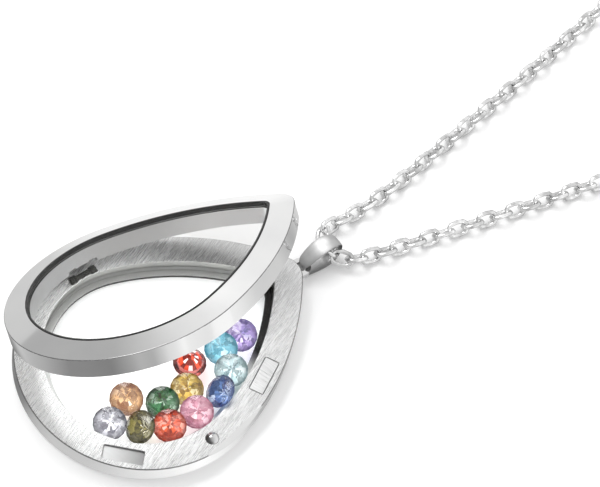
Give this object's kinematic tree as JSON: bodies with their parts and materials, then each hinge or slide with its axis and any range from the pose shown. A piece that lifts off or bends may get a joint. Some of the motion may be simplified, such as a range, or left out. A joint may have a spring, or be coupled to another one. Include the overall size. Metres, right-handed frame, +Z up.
{
  "type": "floating locket",
  "caption": "Teardrop floating locket in steel and glass, its lid hinged open over loose cut stones, on a bail and a cable chain that lies in a long loop.",
  "frame": {"origin": "centre of the case's round end on its underside, in the plane that the case rests on", "axes": "+Y along the case to the bail and the chain, +Z up through the window, hinge on the -X side"},
  "size_m": [0.0791, 0.2454, 0.0215],
  "materials": {
    "brushed_steel": "fine straight brushing on the flange, polished walls",
    "polished_steel": "polished stainless steel",
    "dark_steel": "dark, ridged",
    "magnet": "brushed nickel plating",
    "clear_glass": "clear, polished",
    "gem_purple": "cut and polished",
    "gem_aqua": "cut and polished",
    "gem_mint": "cut and polished",
    "gem_blue": "cut and polished",
    "gem_red": "cut and polished",
    "gem_yellow": "cut and polished",
    "gem_champagne": "cut and polished",
    "gem_green": "cut and polished",
    "gem_pink": "cut and polished",
    "gem_clear": "cut and polished",
    "gem_olive": "cut and polished",
    "gem_orange": "cut and polished"
  },
  "bodies": {
    "case": {"base_frame": "brushed_steel", "base_glass": "clear_glass", "hinge_pin": "polished_steel", "hinge_bar": "dark_steel", "magnet_lower": "magnet", "magnet_upper": "magnet", "catch_ball": "polished_steel", "bail": "polished_steel", "chain": "polished_steel", "clasp": "polished_steel", "stone_purple": "gem_purple", "stone_aqua": "gem_aqua", "stone_mint": "gem_mint", "stone_blue": "gem_blue", "stone_red": "gem_red", "stone_yellow": "gem_yellow", "stone_champagne": "gem_champagne", "stone_green": "gem_green", "stone_pink": "gem_pink", "stone_clear": "gem_clear", "stone_olive": "gem_olive", "stone_orange": "gem_orange"},
    "lid": {"lid_frame": "polished_steel", "lid_glass": "clear_glass"}
  },
  "joints": [
    {"name": "lid_hinge", "type": "hinge", "parent": "case", "child": "lid", "pos_m": [-0.0143, 0, 0.00255], "axis": [0, -1, 0], "range_deg": [-35.7, 50]}
  ]
}
